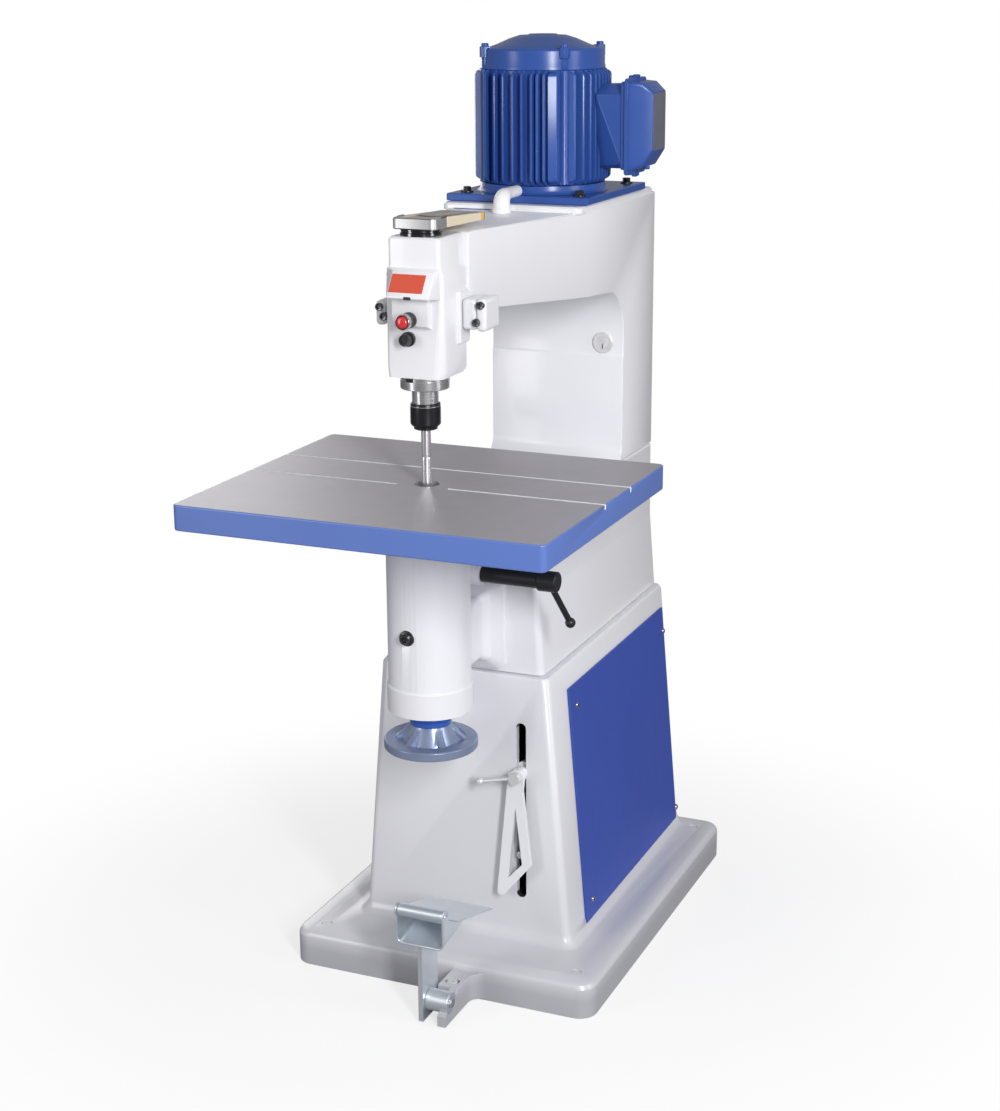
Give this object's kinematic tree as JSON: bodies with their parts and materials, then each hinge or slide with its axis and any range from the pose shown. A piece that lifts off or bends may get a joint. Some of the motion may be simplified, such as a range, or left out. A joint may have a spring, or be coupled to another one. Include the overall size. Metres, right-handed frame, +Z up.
{
  "type": "duplicating milling machine",
  "caption": "Floor-standing overarm router that mills copies from a template, with a belt-driven head, a rising table over a guide pin, a foot pedal and a handwheel for height.",
  "frame": {"origin": "on the floor, under the middle of the bounding box", "axes": "+Z up, -Y towards the operator at the table's front, +X to the operator's right, where the door, the clamp lever and the catch are"},
  "size_m": [0.6, 0.979, 1.5339],
  "materials": {
    "casting_paint": "satin off-white enamel over cast iron",
    "motor_paint": "gloss blue enamel",
    "door_paint": "satin blue enamel",
    "hub_paint": "gloss blue enamel",
    "wheel_paint": "grey-blue metallic paint",
    "table_iron": "surface-ground grey iron, blue-painted rim in the visual scene",
    "ground_steel": "ground",
    "bright_steel": "bright machined",
    "guard_metal": "polished",
    "zinc_steel": "zinc plated",
    "black_steel": "black oxide",
    "black_plastic": "gloss",
    "red_plastic": "gloss",
    "cream_board": "matt",
    "belt_web": "matt woven",
    "winding": "varnished laminations and copper"
  },
  "bodies": {
    "frame": {"base_casting": "casting_paint", "side_door": "door_paint", "column_casting": "casting_paint", "overarm_casting": "casting_paint", "throat_plug": "bright_steel", "motor_plate": "motor_paint", "plate_screw_1": "black_steel", "plate_screw_2": "black_steel", "plate_screw_3": "black_steel", "plate_screw_4": "black_steel", "motor_frame": "motor_paint", "motor_flange": "motor_paint", "motor_top_shield": "motor_paint", "motor_stator": "winding", "motor_bearing_lower": "bright_steel", "motor_bearing_upper": "bright_steel", "terminal_box": "motor_paint", "terminal_cover": "motor_paint", "conduit_elbow": "casting_paint", "drive_belt": "belt_web", "head_casting": "casting_paint", "keeper_left": "casting_paint", "keeper_right": "casting_paint", "top_bearing_cap": "guard_metal", "guard_nose": "guard_metal", "guard_body": "cream_board", "spindle_bearing_lower": "bright_steel", "spindle_bearing_upper": "bright_steel", "lower_flange": "bright_steel", "start_collar": "black_plastic", "stop_ring": "black_plastic", "knee_casting": "casting_paint", "oil_plug": "black_steel", "hub_sleeve": "hub_paint", "clamp_sleeve": "black_steel", "pedal_pin": "bright_steel", "pedal_bush": "zinc_steel"},
    "rotor": {"motor_rotor": "bright_steel", "motor_pulley": "black_steel"},
    "spindle": {"spindle_shaft": "bright_steel", "spindle_pulley": "black_steel", "collet_nut": "black_steel", "cutter": "bright_steel"},
    "start_button": {"start_button": "red_plastic"},
    "stop_button": {"stop_button": "black_plastic"},
    "wheel": {"handwheel": "wheel_paint"},
    "screw": {"lift_screw": "ground_steel"},
    "table": {"table": "table_iron", "table_post": "ground_steel", "guide_pin": "bright_steel"},
    "clamp": {"clamp_lever": "black_steel"},
    "stop": {"stop_bolt": "bright_steel"},
    "catch": {"catch_plate": "casting_paint"},
    "catch_handle": {"catch_handle": "zinc_steel"},
    "slider": {"lift_slider": "bright_steel", "push_rod": "bright_steel"},
    "pedal": {"pedal_arm": "zinc_steel", "pedal_shoe": "zinc_steel"},
    "roller": {"pedal_roller": "zinc_steel"}
  },
  "joints": [
    {"name": "motor_spin", "type": "hinge", "parent": "frame", "child": "rotor", "pos_m": [0, 0.2475, 1.204], "axis": [0, 0, 1], "continuous": true},
    {"name": "spindle_spin", "type": "hinge", "parent": "frame", "child": "spindle", "pos_m": [0, -0.2325, 1.003], "axis": [0, 0, 1], "continuous": true},
    {"name": "wheel_turn", "type": "hinge", "parent": "frame", "child": "wheel", "pos_m": [0, -0.2325, 0.4425], "axis": [0, 0, 1], "range_deg": [-640, 1080]},
    {"name": "screw_height", "type": "slide", "parent": "frame", "child": "screw", "axis": [0, 0, 1], "range_m": [-0.009, 0.0151]},
    {"name": "table_lift", "type": "slide", "parent": "screw", "child": "table", "axis": [0, 0, 1], "range_m": [0, 0.05]},
    {"name": "pedal_press", "type": "hinge", "parent": "frame", "child": "pedal", "pos_m": [0.017, -0.3105, 0.035], "axis": [-1, 0, 0], "range_deg": [0, 25.1]},
    {"name": "slider_rise", "type": "slide", "parent": "frame", "child": "slider", "axis": [0, 0, 1], "range_m": [0, 0.0501]},
    {"name": "roller_turn", "type": "hinge", "parent": "pedal", "child": "roller", "pos_m": [-0.0142, -0.331, 0.1965], "axis": [1, 0, 0], "continuous": true},
    {"name": "clamp_turn", "type": "hinge", "parent": "frame", "child": "clamp", "pos_m": [0.1703, -0.1925, 0.727], "axis": [1, 0, 0], "range_deg": [-60, 80]},
    {"name": "stop_height", "type": "slide", "parent": "frame", "child": "stop", "axis": [0, 0, 1], "range_m": [-0.03, 0.05]},
    {"name": "catch_swing", "type": "hinge", "parent": "stop", "child": "catch", "pos_m": [0.104, -0.1195, 0.363], "axis": [0, 1, 0], "range_deg": [-20, 20]},
    {"name": "handle_turn", "type": "hinge", "parent": "stop", "child": "catch_handle", "pos_m": [0.104, -0.1408, 0.363], "axis": [0, 1, 0], "range_deg": [-40, 60]},
    {"name": "start_press", "type": "slide", "parent": "frame", "child": "start_button", "axis": [0, 1, 0], "range_m": [0, 0.004], "stiffness_N_per_m": 300},
    {"name": "stop_press", "type": "slide", "parent": "frame", "child": "stop_button", "axis": [0, 1, 0], "range_m": [0, 0.003], "stiffness_N_per_m": 300}
  ],
  "couplings": [
    {"joint": "spindle_spin", "follows": "motor_spin", "ratio": 2},
    {"joint": "screw_height", "follows": "wheel_turn", "m_per_rad": 0.00079577},
    {"joint": "pedal_press", "follows": "table_lift", "rad_per_m": 8.75},
    {"joint": "slider_rise", "follows": "table_lift", "ratio": 1}
  ]
}
